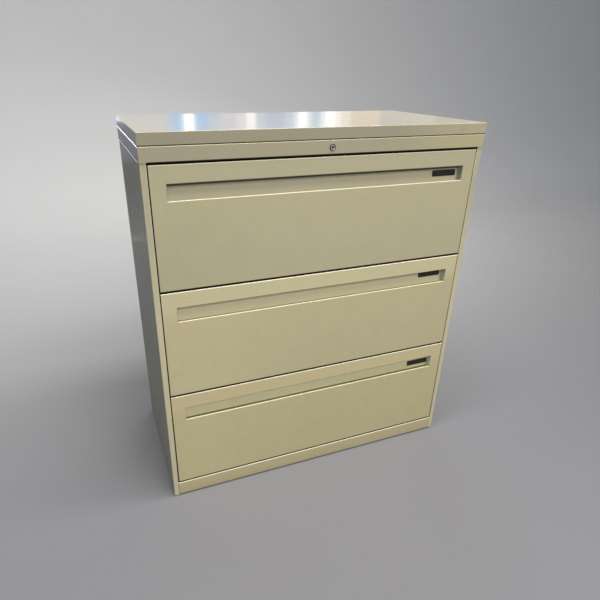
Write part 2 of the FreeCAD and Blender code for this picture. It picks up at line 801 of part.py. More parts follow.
def lock_bar():
    # A strip beside the slides with a hook for each drawer, lifted by the bellcrank.
    bar_pin = crank_pin(-crank_turn / 2)
    slot_left = crank_x + crank_arm * math.cos(math.radians(crank_turn / 2))
    slot_right = crank_x + crank_arm
    top = bar_pin[1] + crank_eye
    outside = bar_inside + bar_plate
    back = bar_front + bar_plate
    bar = block(bar_inside, outside, bar_front, bar_front + bar_width, bar_bottom(), top)
    ear = block(bar_inside - hook_reach, bar_inside, bar_front, back, bar_pin[1] - crank_eye, top)
    pieces = [ear]
    for drawer in drawer_names:
        high = catch_level(drawer) - hook_drop
        low = high - hook_height
        outline = [V(bar_inside, bar_front, low), V(bar_inside - hook_reach, bar_front, low + hook_bevel),
                   V(bar_inside - hook_reach, bar_front, high), V(bar_inside, bar_front, high),
                   V(bar_inside, bar_front, low)]
        pieces.append(Part.Face(Part.makePolygon(outline)).extrude(V(0, bar_plate, 0)))
    slot = obround((slot_left, bar_pin[1]), (slot_right, bar_pin[1]), drive_pin_radius + drive_pin_clearance,
                   bar_front, back)
    return bar.fuse(pieces).removeSplitter().cut(slot)


def bar_guides():
    # Slotted angles on the right side panel, and a plain one that the bar stands on when unlocked.
    start = bar_front - (bar_guide_length - bar_width) / 2
    slot_low = bar_front - guide_clearance
    slot_high = bar_front + bar_width + guide_clearance
    levels = [catch_level(drawer) + bar_guide_rise for drawer in drawer_names]
    guides = []
    for level in levels + [bar_bottom() - stop_gap]:
        path = [(skin_inside, level - bar_guide_leg), (skin_inside, level), (bar_inside - bar_plate, level)]
        guide = folded("front", start, start + bar_guide_length, path, bar_guide_sheet, 0)
        if level in levels:
            guide = guide.cut(block(bar_inside - guide_clearance, bar_inside + bar_plate + guide_clearance,
                                    slot_low, slot_high, level - bar_guide_sheet, level))
        guides.append(guide)
    return guides


os.makedirs("parts", exist_ok=True)

save("top_cap", top_cap())
save("top_stiffeners", *top_stiffeners())
save("top_band", top_band())
save("top_rail", top_rail())
right_panel = side_panel()
save("right_side_panel", right_panel)
save("left_side_panel", mirrored(right_panel))
save("back_panel", back_panel())
save("base_rail", base_rail())
save("bottom_pan", bottom_pan())
save("counterweight", counterweight())
save("levelling_glides", *levelling_glides())
save("glide_brackets", *glide_brackets())
save("slide_uprights", *slide_uprights())
save("outer_slides", *[member for drawer in drawer_names for member in outer_slide(drawer)])

save("lock_housing", *lock_housing())
save("lock_plug", lock_plug())
save("lock_cam", lock_cam())
save("lock_rod", lock_rod())
save("lock_bellcrank", lock_bellcrank())
save("bellcrank_bracket", crank_bracket())
save("rod_guides", *rod_guides())
save("lock_bar", lock_bar())
save("lock_bar_guides", *bar_guides())

for drawer in drawer_names:
    bottom = front_bottoms[drawer]
    save(drawer + "_middle_slides", *middle_slide(drawer))
    save(drawer + "_outer_cages", *outer_cage(drawer))
    save(drawer + "_inner_cages", *inner_cage(drawer))
    save(drawer + "_drawer_front", drawer_front(bottom))
    save(drawer + "_drawer_pull", drawer_pull(bottom))
    save(drawer + "_label_holder", label_holder(drawer, bottom))
    save(drawer + "_drawer_liner", drawer_liner(bottom))
    save(drawer + "_drawer_tray", drawer_tray(bottom))
    save(drawer + "_tray_back", tray_back_panel(bottom))
    save(drawer + "_file_rails", *file_rails(bottom))
    save(drawer + "_inner_slides", *inner_slide(drawer))
    save(drawer + "_drawer_catch", drawer_catch(bottom))
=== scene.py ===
import math

import bmesh
import bpy
from mathutils import Matrix, Vector


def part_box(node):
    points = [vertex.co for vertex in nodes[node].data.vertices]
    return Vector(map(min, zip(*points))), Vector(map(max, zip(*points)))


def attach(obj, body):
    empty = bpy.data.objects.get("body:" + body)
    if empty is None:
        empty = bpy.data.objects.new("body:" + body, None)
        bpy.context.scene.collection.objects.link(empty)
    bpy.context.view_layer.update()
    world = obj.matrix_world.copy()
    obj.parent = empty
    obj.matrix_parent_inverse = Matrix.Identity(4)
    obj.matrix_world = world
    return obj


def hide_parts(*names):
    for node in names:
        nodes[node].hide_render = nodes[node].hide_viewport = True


# Lateral filing cabinet in baked putty enamel. The CAD model is the frame, and all sizes are in metres.

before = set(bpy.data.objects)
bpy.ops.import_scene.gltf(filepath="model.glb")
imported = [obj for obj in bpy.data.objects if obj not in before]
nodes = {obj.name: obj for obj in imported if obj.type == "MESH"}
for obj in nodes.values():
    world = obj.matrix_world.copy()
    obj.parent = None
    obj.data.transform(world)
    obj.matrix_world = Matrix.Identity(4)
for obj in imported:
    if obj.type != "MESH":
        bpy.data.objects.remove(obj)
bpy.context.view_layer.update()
mm = 0.001
drawerNames = ("bottom", "middle", "top")
sides = (-1, 1)
print("frame loaded with", len(nodes), "nodes")


def toLinear(hexColour):
    parts = [int(hexColour[i:i + 2], 16) / 255 for i in (1, 3, 5)]
    return [p / 12.92 if p <= 0.04045 else ((p + 0.055) / 1.055) ** 2.4 for p in parts] + [1.0]


def addNode(tree, kind, inputs, **settings):
    node = tree.nodes.new("ShaderNode" + kind)
    for name, value in settings.items():
        setattr(node, name, value)
    for socket, value in inputs.items():
        if isinstance(value, bpy.types.NodeSocket):
            tree.links.new(value, node.inputs[socket])
        else:
            node.inputs[socket].default_value = value
    return node


def newMaterial(name):
    material = bpy.data.materials.new(name)
    material.use_nodes = True
    tree = material.node_tree
    tree.nodes.clear()
    return material, tree


def finishMaterial(tree, shader):
    addNode(tree, "OutputMaterial", {"Surface": shader.outputs[0]})


def mapSpan(tree, value, span, low=0.0, high=1.0, **settings):
    inputs = {"Value": value, "From Min": span[0], "From Max": span[1], "To Min": low, "To Max": high}
    return addNode(tree, "MapRange", inputs, **settings).outputs[0]


def combine(tree, operation, first, second):
    return addNode(tree, "Math", {0: first, 1: second}, operation=operation).outputs[0]


def mixColours(tree, share, first, second, blend="MIX"):
    first, second = (toLinear(tone) if isinstance(tone, str) else tone for tone in (first, second))
    inputs = {0: share, 6: first, 7: second}
    return addNode(tree, "Mix", inputs, data_type="RGBA", blend_type=blend).outputs[2]


def addNoise(tree, place, size, detail, **more):
    inputs = {"Vector": place, "Scale": 1 / size, "Detail": detail, **more}
    return addNode(tree, "TexNoise", inputs).outputs["Fac"]


# A noise pattern lies mostly between these two values.
noiseSpan = (0.3, 0.7)
# A face counts as turned one way by the share of its normal along an axis: from not at all, to fully.
turned = {"ahead": (-0.05, -0.3), "under": (-0.1, -0.35), "upward": (0.15, 0.45), "leftward": (-0.5, -0.9),
          "leftBend": (-0.03, -0.12), "topBend": (0.05, 0.15)}

# Baked enamel: alkyd paint sprayed on cold-rolled steel and stoved. It flows out almost flat, so it mirrors
# softly with a slight orange peel, and the sheet under it waves a little, which bends long reflections.
enamelLook = {
    "colour": "#b0aa8f", "worn": "#a7a187", "dust": "#8f8a74",
    "roughness": 0.24, "roughnessSpread": 0.04, "ior": 1.5,
    "peelSize": 4.0 * mm,     # real peel is about 1.5 mm, drawn coarser so that it shows
    "peelDepth": 0.003 * mm,
    "waveSize": 210 * mm,     # oil-canning of 1 mm sheet between its bends
    "waveDepth": 0.35 * mm,
    "blotchSize": 260 * mm, "blotchSpan": (0.35, 0.7), "blotchDepth": 0.45,
    "speckSize": 1.2 * mm, "speckLevels": (0.975, 1.02),
    "grimeSize": 35 * mm, "dustSpan": (0.48, 0.75), "dusting": 0.10,
    # painted shade in seams and gaps, and under edges that face down and forward
    "creviceShade": "#14110c", "seamReach": 14 * mm, "seamSpan": (0.3, 0.85), "seamDepth": 1.0, "seamSamples": 6,
    "underDepth": 0.95,
    "toeHeights": (2 * mm, 55 * mm), "toeDepth": 0.55,
    # painted highlight on bends that face up and forward: its colour and depth
    "paintedHighlight": "#ded6b0", "highlightDepth": 0.85,
}


def sprayedColour(tree, place, across, look, lightFall):
    blotch = addNoise(tree, place, look["blotchSize"], 3.0)
    speck = addNoise(tree, place, look["speckSize"], 1.0)
    tone = mapSpan(tree, blotch, look["blotchSpan"], 0.0, look["blotchDepth"])
    colour = mixColours(tree, tone, look["colour"], look["worn"])
    if lightFall:     # painted light: one end is painted a different tone from the other
        lightShare = mapSpan(tree, across, lightFall["span"], interpolation_type="SMOOTHSTEP")
        colour = mixColours(tree, lightShare, colour, lightFall["colour"])
    grain = mapSpan(tree, speck, noiseSpan, *look["speckLevels"])
    return mixColours(tree, 1.0, colour, grain, "MULTIPLY")


def scuffMark(tree, place, scuff):
    # one rubbed mark with a ragged edge, where a trolley or a chair has touched the paint
    bent = addNoise(tree, place, scuff["grain"], 2.0)
    offset = addNode(tree, "VectorMath", {0: place, 1: scuff["place"]}, operation="SUBTRACT")
    offset = addNode(tree, "VectorMath", {0: offset.outputs[0], 1: [1 / side for side in scuff["size"]]},
                     operation="MULTIPLY")
    reach = addNode(tree, "VectorMath", {0: offset.outputs[0]}, operation="LENGTH")
    ragged = combine(tree, "ADD", reach.outputs["Value"], bent)
    return mapSpan(tree, ragged, scuff["edge"], scuff["depth"], 0.0)


def paintStripes(tree, colour, paintedShade, ahead, split, lines, lineHalf):
    # level stripes of painted shade and painted highlight on the front: each has its low and high edge,
    # their softness, its tint and its depth
    level = split.outputs["Z"]
    away = addNode(tree, "Math", {0: split.outputs["X"]}, operation="ABSOLUTE").outputs[0]
    within = combine(tree, "LESS_THAN", away, lineHalf)
    within = combine(tree, "MULTIPLY", within, ahead)
    for low, high, soft, tint, depth in lines:
        rise = mapSpan(tree, level, (low, low + soft), 0.0, depth)
        drop = mapSpan(tree, level, (high - soft, high), 1.0, 0.0)
        stripe = combine(tree, "MULTIPLY", rise, drop)
        stripe = combine(tree, "MULTIPLY", stripe, within)
        colour = mixColours(tree, stripe, colour, tint)
        if tint == seamShade:     # painted shade is made dull as well
            paintedShade = combine(tree, "MAXIMUM", paintedShade, stripe)
    return colour, paintedShade


def enamelRoughness(tree, dirt, paintedShade, facing, look):
    base, spread = look["roughness"], look["roughnessSpread"]
    rough = mapSpan(tree, dirt, noiseSpan, base - spread, base + spread)
    # painted shade is made dull as well
    rough = combine(tree, "MAXIMUM", rough, paintedShade)
    if "dullBend" in look:     # sleeves and trolleys have dulled the bend along the left edge
        left = mapSpan(tree, facing.outputs["X"], turned["leftBend"])
        top = mapSpan(tree, facing.outputs["Z"], turned["topBend"])
        dull = combine(tree, "MULTIPLY", left, top)
        dull = combine(tree, "MULTIPLY", dull, look["dullBend"])
        rough = combine(tree, "MAXIMUM", rough, dull)
    return rough


def enamelRelief(tree, place, look):
    peel = addNoise(tree, place, look["peelSize"], 2.0)
    wave = addNoise(tree, place, look["waveSize"], 1.0)
    relief = addNode(tree, "Bump", {"Height": wave, "Distance": look["waveDepth"], "Strength": 1.0})
    return addNode(tree, "Bump", {"Height": peel, "Distance": look["peelDepth"], "Strength": 1.0,
                                  "Normal": relief.outputs[0]}).outputs[0]


def bakedEnamel(name, look, toeScuff=False, scuff=None, lightFall=None, lines=(), lineHalf=1.0):
    material, tree = newMaterial(name)
    place = addNode(tree, "TexCoord", {}).outputs["Object"]
    split = addNode(tree, "SeparateXYZ", {0: place})
    facing = addNode(tree, "SeparateXYZ", {0: addNode(tree, "NewGeometry", {}).outputs["True Normal"]})
    ahead = mapSpan(tree, facing.outputs["Y"], turned["ahead"])
    colour = sprayedColour(tree, place, split.outputs["X"], look, lightFall)
    dirt = addNoise(tree, place, look["grimeSize"], 5.0, Roughness=0.65)
    dusty = mapSpan(tree, dirt, look["dustSpan"], 0.0, look["dusting"])
    if toeScuff:     # shoes and mops leave the lowest few centimetres a little darker
        low = mapSpan(tree, split.outputs["Z"], look["toeHeights"], look["toeDepth"], 0.0)
        low = combine(tree, "MULTIPLY", low, dirt)
        dusty = combine(tree, "MAXIMUM", dusty, low)
    if scuff:
        dusty = combine(tree, "MAXIMUM", dusty, scuffMark(tree, place, scuff))
    colour = mixColours(tree, dusty, colour, look["dust"])
    # painted shade where two sheets nearly touch, and on faces turned down and forward
    closeness = addNode(tree, "AmbientOcclusion", {"Distance": look["seamReach"]},
                        samples=look["seamSamples"])
    seam = mapSpan(tree, closeness.outputs["AO"], look["seamSpan"], look["seamDepth"], 0.0)
    under = mapSpan(tree, facing.outputs["Z"], turned["under"], 0.0, look["underDepth"])
    under = combine(tree, "MULTIPLY", under, ahead)
    paintedShade = combine(tree, "MAXIMUM", seam, under)
    colour = mixColours(tree, paintedShade, colour, look["creviceShade"])
    # painted highlight: bends that face up and forward are painted paler
    upward = mapSpan(tree, facing.outputs["Z"], turned["upward"], 0.0, look["highlightDepth"])
    paintedHighlight = combine(tree, "MULTIPLY", upward, ahead)
    colour = mixColours(tree, paintedHighlight, colour, look["paintedHighlight"])
    if lines:
        colour, paintedShade = paintStripes(tree, colour, paintedShade, ahead, split, lines, lineHalf)
    if "endLight" in look:     # painted light: the recess's right end, which faces left, is painted pale
        end = mapSpan(tree, facing.outputs["X"], turned["leftward"])
        colour = mixColours(tree, end, colour, look["endLight"])
    rough = enamelRoughness(tree, dirt, paintedShade, facing, look)
    relief = enamelRelief(tree, place, look)
    shader = addNode(tree, "BsdfPrincipled", {"Base Color": colour, "Roughness": rough, "Normal": relief,
                                              "IOR": look["ior"], "Metallic": 0.0})
    finishMaterial(tree, shader)
    return material


# Bright zinc plate: electroplated over rolled strip. It is a cool grey mirror, broken by fine rolling lines
# and by the faint blue and straw clouds of its clear chromate.
zincLook = {"colour": "#c3c6c7", "cloud": "#b9b8a8", "blue": "#aeb8c4", "grease": "#6d6552", "greased": 0.0,
            "cloudSize": 45 * mm, "cloudSpan": (0.4, 0.65), "blueSpan": (0.3, 0.8), "blueDepth": 0.5,
            "lineSize": 1.4 * mm, "lineStretch": 60, "lineDepth": 0.01 * mm,
            "roughness": 0.34, "roughnessSpread": 0.08}


def zincPlate(name, look, lineAxis=1):
    material, tree = newMaterial(name)
    place = addNode(tree, "TexCoord", {}).outputs["Object"]
    stretch = [1 / look["lineSize"]] * 3
    stretch[lineAxis] /= look["lineStretch"]     # rolling lines run along the strip
    along = addNode(tree, "Mapping", {"Vector": place, "Scale": stretch})
    lines = addNoise(tree, along.outputs[0], 1.0, 2.0)
    cloud = addNoise(tree, place, look["cloudSize"], 3.0)
    tint = mapSpan(tree, cloud, look["cloudSpan"])
    colour = mixColours(tree, tint, look["colour"], look["cloud"])
    cool = mapSpan(tree, lines, look["blueSpan"], 0.0, look["blueDepth"])
    colour = mixColours(tree, cool, colour, look["blue"])
    colour = mixColours(tree, look["greased"], colour, look["grease"])
    base, spread = look["roughness"], look["roughnessSpread"]
    rough = mapSpan(tree, lines, noiseSpan, base - spread, base + spread)
    relief = addNode(tree, "Bump", {"Height": lines, "Distance": look["lineDepth"]})
    shader = addNode(tree, "BsdfPrincipled", {"Base Color": colour, "Roughness": rough, "Metallic": 1.0,
                                              "Normal": relief.outputs[0]})
    finishMaterial(tree, shader)
    return material


# Nickel-chrome plate over die-cast zinc, buffed before plating: nearly a mirror, with hairlines from keys.
chromeLook = {"colour": "#d5d6d8", "hairColour": "#a9aaae", "hairWidth": 0.3 * mm, "hairLength": 9 * mm,
              "hairTurn": 0.6, "hairSpan": (0.4, 0.75), "hairDepth": 0.004 * mm, "roughness": (0.1, 0.26)}


def buffedChrome(name, look, centre=(0.0, 0.0, 0.0)):
    material, tree = newMaterial(name)
    place = addNode(tree, "TexCoord", {}).outputs["Object"]
    width, length = look["hairWidth"], look["hairLength"]
    hair = addNode(tree, "Mapping", {"Vector": place, "Rotation": (0.0, look["hairTurn"], 0.0),
                                     "Scale": (1 / width, 1 / width, 1 / length)})
    lines = addNoise(tree, hair.outputs[0], 1.0, 3.0)
    rough = mapSpan(tree, lines, look["hairSpan"], *look["roughness"])
    colour = mixColours(tree, lines, look["colour"], look["hairColour"])
    for ring in look.get("rings", ()):     # painted shadow around this centre, between two radii
        offset = addNode(tree, "VectorMath", {0: place, 1: centre}, operation="SUBTRACT")
        offset = addNode(tree, "VectorMath", {0: offset.outputs[0], 1: (1.0, 0.0, 1.0)}, operation="MULTIPLY")
        radius = addNode(tree, "VectorMath", {0: offset.outputs[0]}, operation="LENGTH").outputs["Value"]
        ringShade = mapSpan(tree, radius, ring, 0.0, look["ringShadeDepth"])
        colour = mixColours(tree, ringShade, colour, look["ringShade"])
    relief = addNode(tree, "Bump", {"Height": lines, "Distance": look["hairDepth"]})
    shader = addNode(tree, "BsdfPrincipled", {"Base Color": colour, "Roughness": rough, "Metallic": 1.0,
                                              "Normal": relief.outputs[0]})
    finishMaterial(tree, shader)
    return material


# ABS, injection moulded against a spark-eroded tool: a fine matt grain that greys where it faces the light.
absLook = {"colour": "#1e1a15", "haze": "#28231c", "grain": 0.45 * mm, "grainDepth": 0.03 * mm,
           "hazeSize": 14 * mm, "roughness": (0.34, 0.48), "ior": 1.53}


def mouldedAbs(name, look):
    material, tree = newMaterial(name)
    place = addNode(tree, "TexCoord", {}).outputs["Object"]
    pits = addNode(tree, "TexVoronoi", {"Vector": place, "Scale": 1 / look["grain"]})
    haze = addNoise(tree, place, look["hazeSize"], 3.0)
    colour = mixColours(tree, haze, look["colour"], look["haze"])
    rough = mapSpan(tree, haze, noiseSpan, *look["roughness"])
    relief = addNode(tree, "Bump", {"Height": pits.outputs["Distance"], "Distance": look["grainDepth"]})
    shader = addNode(tree, "BsdfPrincipled", {"Base Color": colour, "Roughness": rough, "IOR": look["ior"],
                                              "Normal": relief.outputs[0]})
    finishMaterial(tree, shader)
    return material


# Hot-rolled bar with its mill scale left on: blue-black oxide with rust where it has flaked.
scaleLook = {"oxide": "#3b3d42", "rust": "#5d4335", "flakeSize": 22 * mm, "flakeDepth": 0.2 * mm,
             "rustSpan": (0.56, 0.66), "roughness": (0.4, 0.8), "sheen": 0.6}


def millScale(name, look):
    material, tree = newMaterial(name)
    place = addNode(tree, "TexCoord", {}).outputs["Object"]
    flake = addNoise(tree, place, look["flakeSize"], 6.0, Roughness=0.7)
    rust = mapSpan(tree, flake, look["rustSpan"])
    colour = mixColours(tree, rust, look["oxide"], look["rust"])
    metal = mapSpan(tree, rust, (0.0, 1.0), look["sheen"], 0.0)
    rough = mapSpan(tree, flake, (0.0, 1.0), *look["roughness"])
    relief = addNode(tree, "Bump", {"Height": flake, "Distance": look["flakeDepth"]})
    shader = addNode(tree, "BsdfPrincipled", {"Base Color": colour, "Roughness": rough, "Metallic": metal,
                                              "Normal": relief.outputs[0]})
    finishMaterial(tree, shader)
    return material


def levels(name):
    low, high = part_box(name)
    return low[2], high[2]


# Painted shade: the cap and its band are painted a shade darker and greyer than the drawers.
capLook = dict(enamelLook, colour="#99937e", worn="#908b78", roughness=0.19, roughnessSpread=0.03,
               peelDepth=0.0012 * mm, waveDepth=0.2 * mm, highlightDepth=0.25, dullBend=0.7)
# painted light: the base rail is painted paler than the case
railLook = dict(enamelLook, colour="#c1b68e", worn="#b8ad86")
bandLook = dict(enamelLook, colour="#a39c85", worn="#9b947e")
pullLook = dict(enamelLook, seamReach=16 * mm, seamSpan=(0.35, 0.62), seamDepth=0.55, dusting=0.06)
rightLook = dict(enamelLook, seamDepth=0.3)     # the right side has weaker painted seam shade
innerLook = dict(enamelLook, roughness=0.36, dusting=0.35)     # one thin coat inside, and never wiped
# the rolled hems are wiped every time the top is, so they stay glossy and nearly free of dust,
# and they get no painted seam shade and no painted highlight
wipedLook = dict(bandLook, roughness=0.13, roughnessSpread=0.02, waveDepth=0.02 * mm, seamDepth=0.0,
                 highlightDepth=0.0, dusting=0.03)
# painted light: the cap and band are painted paler towards their right ends
capLightFall = {"span": (120 * mm, 430 * mm), "colour": "#a8a186"}
bandLightFall = dict(capLightFall, colour="#ada584")
capScuff = {"place": (379 * mm, -228.6 * mm, 1004 * mm), "size": (1.3 * mm, 6 * mm, 8 * mm), "depth": 0.8,
            "edge": (1.1, 1.5), "grain": 9 * mm}

# Stripes along the edges: painted shade under the seams, and painted highlight along the upper edges.
seamShade, highlightPaint, postPaint = "#140e05", "#fcf5d8", "#c7bf9f"
edgeStripes = {"past": 1 * mm, "soft": 0.5 * mm, "crisp": 0.4 * mm, "cap": 2.2 * mm, "capDepth": 0.85,
               "band": 2.6 * mm, "bandHalf": 441 * mm, "rail": 2.2 * mm,
               "frontTop": 2.2 * mm, "frontFoot": 3.5 * mm,
               "posts": (-400 * mm, 850 * mm), "postSoft": 300 * mm}
past, soft, crisp = (edgeStripes[key] for key in ("past", "soft", "crisp"))
capLow = levels("top_cap")[0]
bandLow, bandHigh = levels("top_band")
railHigh = levels("base_rail")[1]
capLines = [(capLow - past, capLow + edgeStripes["cap"], soft, seamShade, edgeStripes["capDepth"])]
bandLines = [(bandLow - past, bandLow + edgeStripes["band"], soft, seamShade, 1.0)]
railLines = [(railHigh - edgeStripes["rail"], railHigh + past, crisp, highlightPaint, 1.0)]
# the posts are paler lower down
postLines = [(*edgeStripes["posts"], edgeStripes["postSoft"], postPaint, 1.0)]

caseEnamel = bakedEnamel("putty baked enamel", enamelLook, toeScuff=True)
leftEnamel = bakedEnamel("putty baked enamel, left side", enamelLook, toeScuff=True, lines=postLines)
rightEnamel = bakedEnamel("putty baked enamel, right side", rightLook, toeScuff=True, lines=postLines)
capEnamel = bakedEnamel("putty baked enamel, cap in painted shade", capLook, scuff=capScuff, lightFall=capLightFall,
                        lines=capLines)
bandEnamel = bakedEnamel("putty baked enamel, band in painted shade", bandLook, lightFall=bandLightFall, lines=bandLines,
                         lineHalf=edgeStripes["bandHalf"])
railEnamel = bakedEnamel("putty baked enamel, base in painted light", railLook, toeScuff=True, lines=railLines)
wipedEnamel = bakedEnamel("putty baked enamel, wiped hems", wipedLook)

# Each drawer's paint is set a little lighter or darker as painted light, and its pull's paint paler still;
# the strip over the window has a tone of its own, and painted shade darkens the recess under the lip and
# along the sill.
drawerShades = {
    "bottom": {"front": ("#c3ba91", "#bab18a"), "right": "#bdb48c", "strip": "#c7bb93", "edge": 0.9,
               "pull": ("#dad4ac", "#d0caa4"), "end": "#f2eee2"},
    "middle": {"front": ("#c3ba95", "#bab18e"), "right": "#bbb38f", "strip": "#c6be99", "edge": 0.9,
               "pull": ("#d6cfaa", "#ccc5a2"), "end": "#d2ccbc"},
    "top": {"front": ("#b3ad8e", "#aaa487"), "right": "#b3ac8e", "strip": "#aea88c", "edge": 0.35,
            "pull": ("#c0ba9e", "#b6b096"), "end": "#b4b0a2"},
}
# the window in a drawer front, how far the pull rises behind its lip, and the stripes around it: painted
# shade under the lip, along the sill and at the front's foot, and painted highlight along its top edge
windowLook = {"height": 38 * mm, "pullRise": 14 * mm, "lightFallSpan": (-400 * mm, 0.0),
              "stripFall": 36 * mm, "highlightDepth": 0.7,
              "lipShade": 9.6 * mm, "lipSoft": 1.5 * mm, "lipDepth": 0.62,
              "sillShade": (16 * mm, 5.2 * mm), "sillSoft": 1 * mm, "sillDepth": 0.75}


def frontStripes(low, high, windowTop, shade, look):
    fall = look["stripFall"]
    return [(windowTop - look["height"], high + fall, fall, shade["strip"], 1.0),
            (high - edgeStripes["frontTop"], high + past, soft, highlightPaint, shade["edge"]),
            (low - past, low + edgeStripes["frontFoot"], crisp, seamShade, 1.0)]


def pullStripes(windowTop, look):
    sill = windowTop - look["height"]
    lower, upper = look["sillShade"]
    return [(windowTop - look["lipShade"], windowTop, look["lipSoft"], seamShade, look["lipDepth"]),
            (sill - lower, sill - upper, look["sillSoft"], seamShade, look["sillDepth"])]


frontEnamel, pullEnamel = {}, {}
for drawer, shade in drawerShades.items():
    low, high = levels(drawer + "_drawer_front")
    windowTop = levels(drawer + "_drawer_pull")[1] - windowLook["pullRise"]
    look = dict(enamelLook, colour=shade["front"][0], worn=shade["front"][1], highlightDepth=windowLook["highlightDepth"])
    frontEnamel[drawer] = bakedEnamel("putty baked enamel, " + drawer + " drawer", look, toeScuff=True,
                                      lightFall={"span": windowLook["lightFallSpan"], "colour": shade["right"]},
                                      lines=frontStripes(low, high, windowTop, shade, windowLook))
    look = dict(pullLook, colour=shade["pull"][0], worn=shade["pull"][1], endLight=shade["end"])
    pullEnamel[drawer] = bakedEnamel("putty baked enamel, " + drawer + " pull", look,
                                     lines=pullStripes(windowTop, windowLook))
innerEnamel = bakedEnamel("putty baked enamel, inner coat", innerLook)
zinc = zincPlate("bright zinc plate", zincLook)
upZinc = zincPlate("bright zinc plate, rolled upright", zincLook, lineAxis=2)
crossZinc = zincPlate("bright zinc plate, rolled across", zincLook, lineAxis=0)
greasyZinc = zincPlate("greased zinc strip", dict(zincLook, greased=0.35))
chrome = buffedChrome("buffed nickel chrome", chromeLook)
# painted shadow on the lock: a dark ring at the rim of its face and a dark centre
lockLook = dict(chromeLook, colour="#eeeeea", hairColour="#d0d0cc", roughness=(0.38, 0.52),
                ringShade="#26241f", ringShadeDepth=0.9, rings=((5.4 * mm, 6.2 * mm), (3.4 * mm, 2.6 * mm)))
lockAxis = (0.0, 0.0, (bandLow + bandHigh) / 2)
lockChrome = buffedChrome("satin nickel on the lock", lockLook, lockAxis)
blackAbs = mouldedAbs("black moulded ABS", absLook)
scale = millScale("hot-rolled steel with mill scale", scaleLook)

finishes = {
    caseEnamel: ["back_panel"],
    leftEnamel: ["left_side_panel"],
    rightEnamel: ["right_side_panel"],
    railEnamel: ["base_rail"],
    capEnamel: ["top_cap"],
    bandEnamel: ["top_band"],
    innerEnamel: ["top_stiffeners", "top_rail", "bottom_pan"],
    upZinc: ["slide_uprights", "lock_bar", "lock_bar_guides"],
    zinc: ["outer_slides", "glide_brackets", "rod_guides", "bellcrank_bracket", "levelling_glides",
           "lock_cam", "lock_bellcrank"],
    crossZinc: ["lock_rod"],
    lockChrome: ["lock_housing", "lock_plug"],
    scale: ["counterweight"],
    blackAbs: [], greasyZinc: [],
}
for drawer in drawerNames:
    finishes[frontEnamel[drawer]] = [drawer + "_drawer_front"]
    finishes[pullEnamel[drawer]] = [drawer + "_drawer_pull"]
    finishes[innerEnamel] += [drawer + "_drawer_liner", drawer + "_drawer_tray", drawer + "_tray_back"]
    finishes[blackAbs] += [drawer + "_label_holder"]
    finishes[zinc] += [drawer + "_inner_slides", drawer + "_middle_slides", drawer + "_drawer_catch"]
    finishes[crossZinc] += [drawer + "_file_rails"]
    finishes[greasyZinc] += [drawer + "_outer_cages", drawer + "_inner_cages"]
for material, names in finishes.items():
    for name in names:
        nodes[name].data.materials.clear()
        nodes[name].data.materials.append(material)
print("materials on", sum(len(names) for names in finishes.values()), "nodes")


# Paint pulls back into a small round over every cut edge and fold, and that round is what catches the light.
easeLook = {"weld": 0.005 * mm, "segments": 2, "sharpest": 40}
paintedEdges = {
    0.45 * mm: ["top_cap", "top_band", "base_rail"] + [name + "_drawer_front" for name in drawerNames],
    0.4 * mm: ["left_side_panel", "right_side_panel", "back_panel"],
    0.25 * mm: ["lock_housing", "lock_plug"],
    0.3 * mm: [name + part for name in drawerNames
               for part in ("_drawer_tray", "_tray_back", "_drawer_liner", "_file_rails")],
}


def easeEdges(piece, width, look):
    weld = piece.modifiers.new("weld", "WELD")
    weld.merge_threshold = look["weld"]
    ease = piece.modifiers.new("ease", "BEVEL")
    ease.width = width
    ease.segments = look["segments"]
    ease.limit_method = "ANGLE"
    ease.angle_limit = math.radians(look["sharpest"])
    ease.harden_normals = True


for width, names in paintedEdges.items():
    for name in names:
        easeEdges(nodes[name], width, easeLook)
print("edges eased")


def newPiece(name, mesh, material, body):
    piece = bpy.data.objects.new(name, mesh)
    bpy.context.scene.collection.objects.link(piece)
    mesh.materials.append(material)
    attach(piece, body)
    return piece


def meshFrom(name, build, smooth=True):
    mesh = bpy.data.meshes.new(name)
    work = bmesh.new()
    build(work)
    bmesh.ops.recalc_face_normals(work, faces=work.faces)
    work.to_mesh(mesh)
    work.free()
    for face in mesh.polygons:
        face.use_smooth = smooth
    return mesh


# Steel balls of the telescoping slides, held in their cages.
ballLook = {"radius": 2.38 * mm, "perRow": 9, "endGap": 8 * mm, "cageSheet": 1.0 * mm,
            "rings": 8, "segments": 14,
            "reach": {"outer": 8.82 * mm, "inner": 11.52 * mm}}     # from the slide's mount to the cage's row


def slideBalls(drawer, cage, look):
    low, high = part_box(drawer + "_" + cage + "_cages")
    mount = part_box("outer_slides")[1][0]
    x = mount - look["reach"][cage]
    first, last = low[1] + look["endGap"], high[1] - look["endGap"]
    rows = (low[2] + look["cageSheet"] / 2, high[2] - look["cageSheet"] / 2)

    def build(work):
        for side in sides:
            for z in rows:
                for i in range(look["perRow"]):
                    y = first + (last - first) * i / (look["perRow"] - 1)
                    bmesh.ops.create_uvsphere(work, u_segments=look["segments"], v_segments=look["rings"],
                                              radius=look["radius"],
                                              matrix=Matrix.Translation((side * x, y, z)))

    name = drawer + "_" + cage + "_balls"
    return newPiece(name, meshFrom(name, build), chrome, drawer + "_" + cage + "_ball_cages")


for drawer in drawerNames:
    for cage in ("outer", "inner"):
        slideBalls(drawer, cage, ballLook)
print("slide balls set")


# Label plates: black moulded plates with round corners, clipped to the recess's back and leaning with it.
labelLook = {"bottomTrim": 2.7 * mm, "height": 15.9 * mm, "endTrim": 0.4 * mm, "corner": 2.6 * mm,
             "cornerSteps": 6, "leastCorner": 0.3 * mm, "thick": 1.6 * mm, "round": 0.5 * mm, "roundSteps": 3,
             "rim": 1.3 * mm, "rimEase": 0.2 * mm, "floorDepth": 0.7 * mm, "floorEase": 0.15 * mm}


